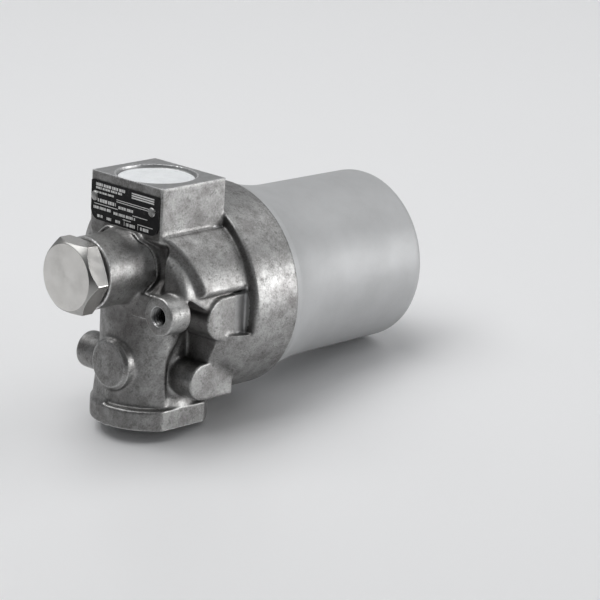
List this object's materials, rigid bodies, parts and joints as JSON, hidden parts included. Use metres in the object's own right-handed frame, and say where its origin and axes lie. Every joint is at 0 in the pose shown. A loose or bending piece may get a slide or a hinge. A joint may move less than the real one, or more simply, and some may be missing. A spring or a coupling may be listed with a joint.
{
  "type": "hydraulic filter housing",
  "caption": "In-line hydraulic filter housing: cast head with threaded ports in line, a plugged indicator port, mounting threads and a screwed-on cylindrical bowl.",
  "frame": {"origin": "centre of the outlet port's mouth, on the outlet face", "axes": "+X along the bowl's axis from the head towards the bowl's closed end, +Z out of the inlet port, +Y completes the right-handed set"},
  "size_m": [0.1889, 0.09, 0.1068],
  "materials": {
    "cast_aluminium": "blasted cast surface, machined ports",
    "bowl_aluminium": "satin, bead blasted",
    "black_rubber": "smooth",
    "white_ptfe": "smooth",
    "turned_steel": "turned, bright zinc",
    "cap_plastic": "translucent, satin",
    "plate_black": "black with bare silver fields",
    "pin_aluminium": "bright",
    "spigot_aluminium": "turned",
    "valve_brass": "turned",
    "spring_steel": "drawn wire",
    "zinc_steel": "zinc plated sheet",
    "filter_media": "pleated fleece",
    "support_plastic": "moulded"
  },
  "bodies": {
    "head": {"head_casting": "cast_aluminium", "name_plate": "plate_black", "plate_pin_far": "pin_aluminium", "plate_pin_near": "pin_aluminium", "element_spigot": "spigot_aluminium", "element_seal_ring": "black_rubber", "bypass_valve_body": "valve_brass", "bypass_spring": "spring_steel", "bypass_spring_seat": "zinc_steel", "element_front_cap": "zinc_steel", "element_rear_cap": "zinc_steel", "element_core_tube": "zinc_steel", "element_pleats": "filter_media", "element_outer_tube": "support_plastic"},
    "bowl_seals": {"bowl_seal_ring": "black_rubber", "bowl_backup_ring": "white_ptfe"},
    "bowl": {"bowl": "bowl_aluminium"},
    "plug_seal": {"plug_seal_ring": "black_rubber"},
    "plug": {"blanking_plug": "turned_steel"},
    "cap": {"inlet_cap": "cap_plastic"},
    "poppet": {"bypass_poppet": "valve_brass"}
  },
  "joints": [
    {"name": "bowl_travel", "type": "slide", "parent": "head", "child": "bowl_seals", "axis": [1, 0, 0], "range_m": [0, 0.01201]},
    {"name": "bowl_turn", "type": "hinge", "parent": "bowl_seals", "child": "bowl", "pos_m": [0.0447, 0, 0.0526], "axis": [1, 0, 0], "range_deg": [0, 2160]},
    {"name": "plug_travel", "type": "slide", "parent": "head", "child": "plug_seal", "axis": [-1, 0, 0], "range_m": [0, 0.01201]},
    {"name": "plug_turn", "type": "hinge", "parent": "plug_seal", "child": "plug", "pos_m": [-0.0404, 0, 0.0692], "axis": [-1, 0, 0], "range_deg": [0, 2880]},
    {"name": "cap_pull", "type": "slide", "parent": "head", "child": "cap", "axis": [0, 0, 1], "range_m": [0, 0.013]},
    {"name": "poppet_lift", "type": "slide", "parent": "head", "child": "poppet", "axis": [-1, 0, 0], "range_m": [0, 0.004], "stiffness_N_per_m": 2500, "springref_m": -0.007, "deforming": ["bypass_spring"]}
  ],
  "couplings": [
    {"joint": "bowl_travel", "follows": "bowl_turn", "m_per_rad": 0.00031831},
    {"joint": "plug_travel", "follows": "plug_turn", "m_per_rad": 0.00023873}
  ]
}
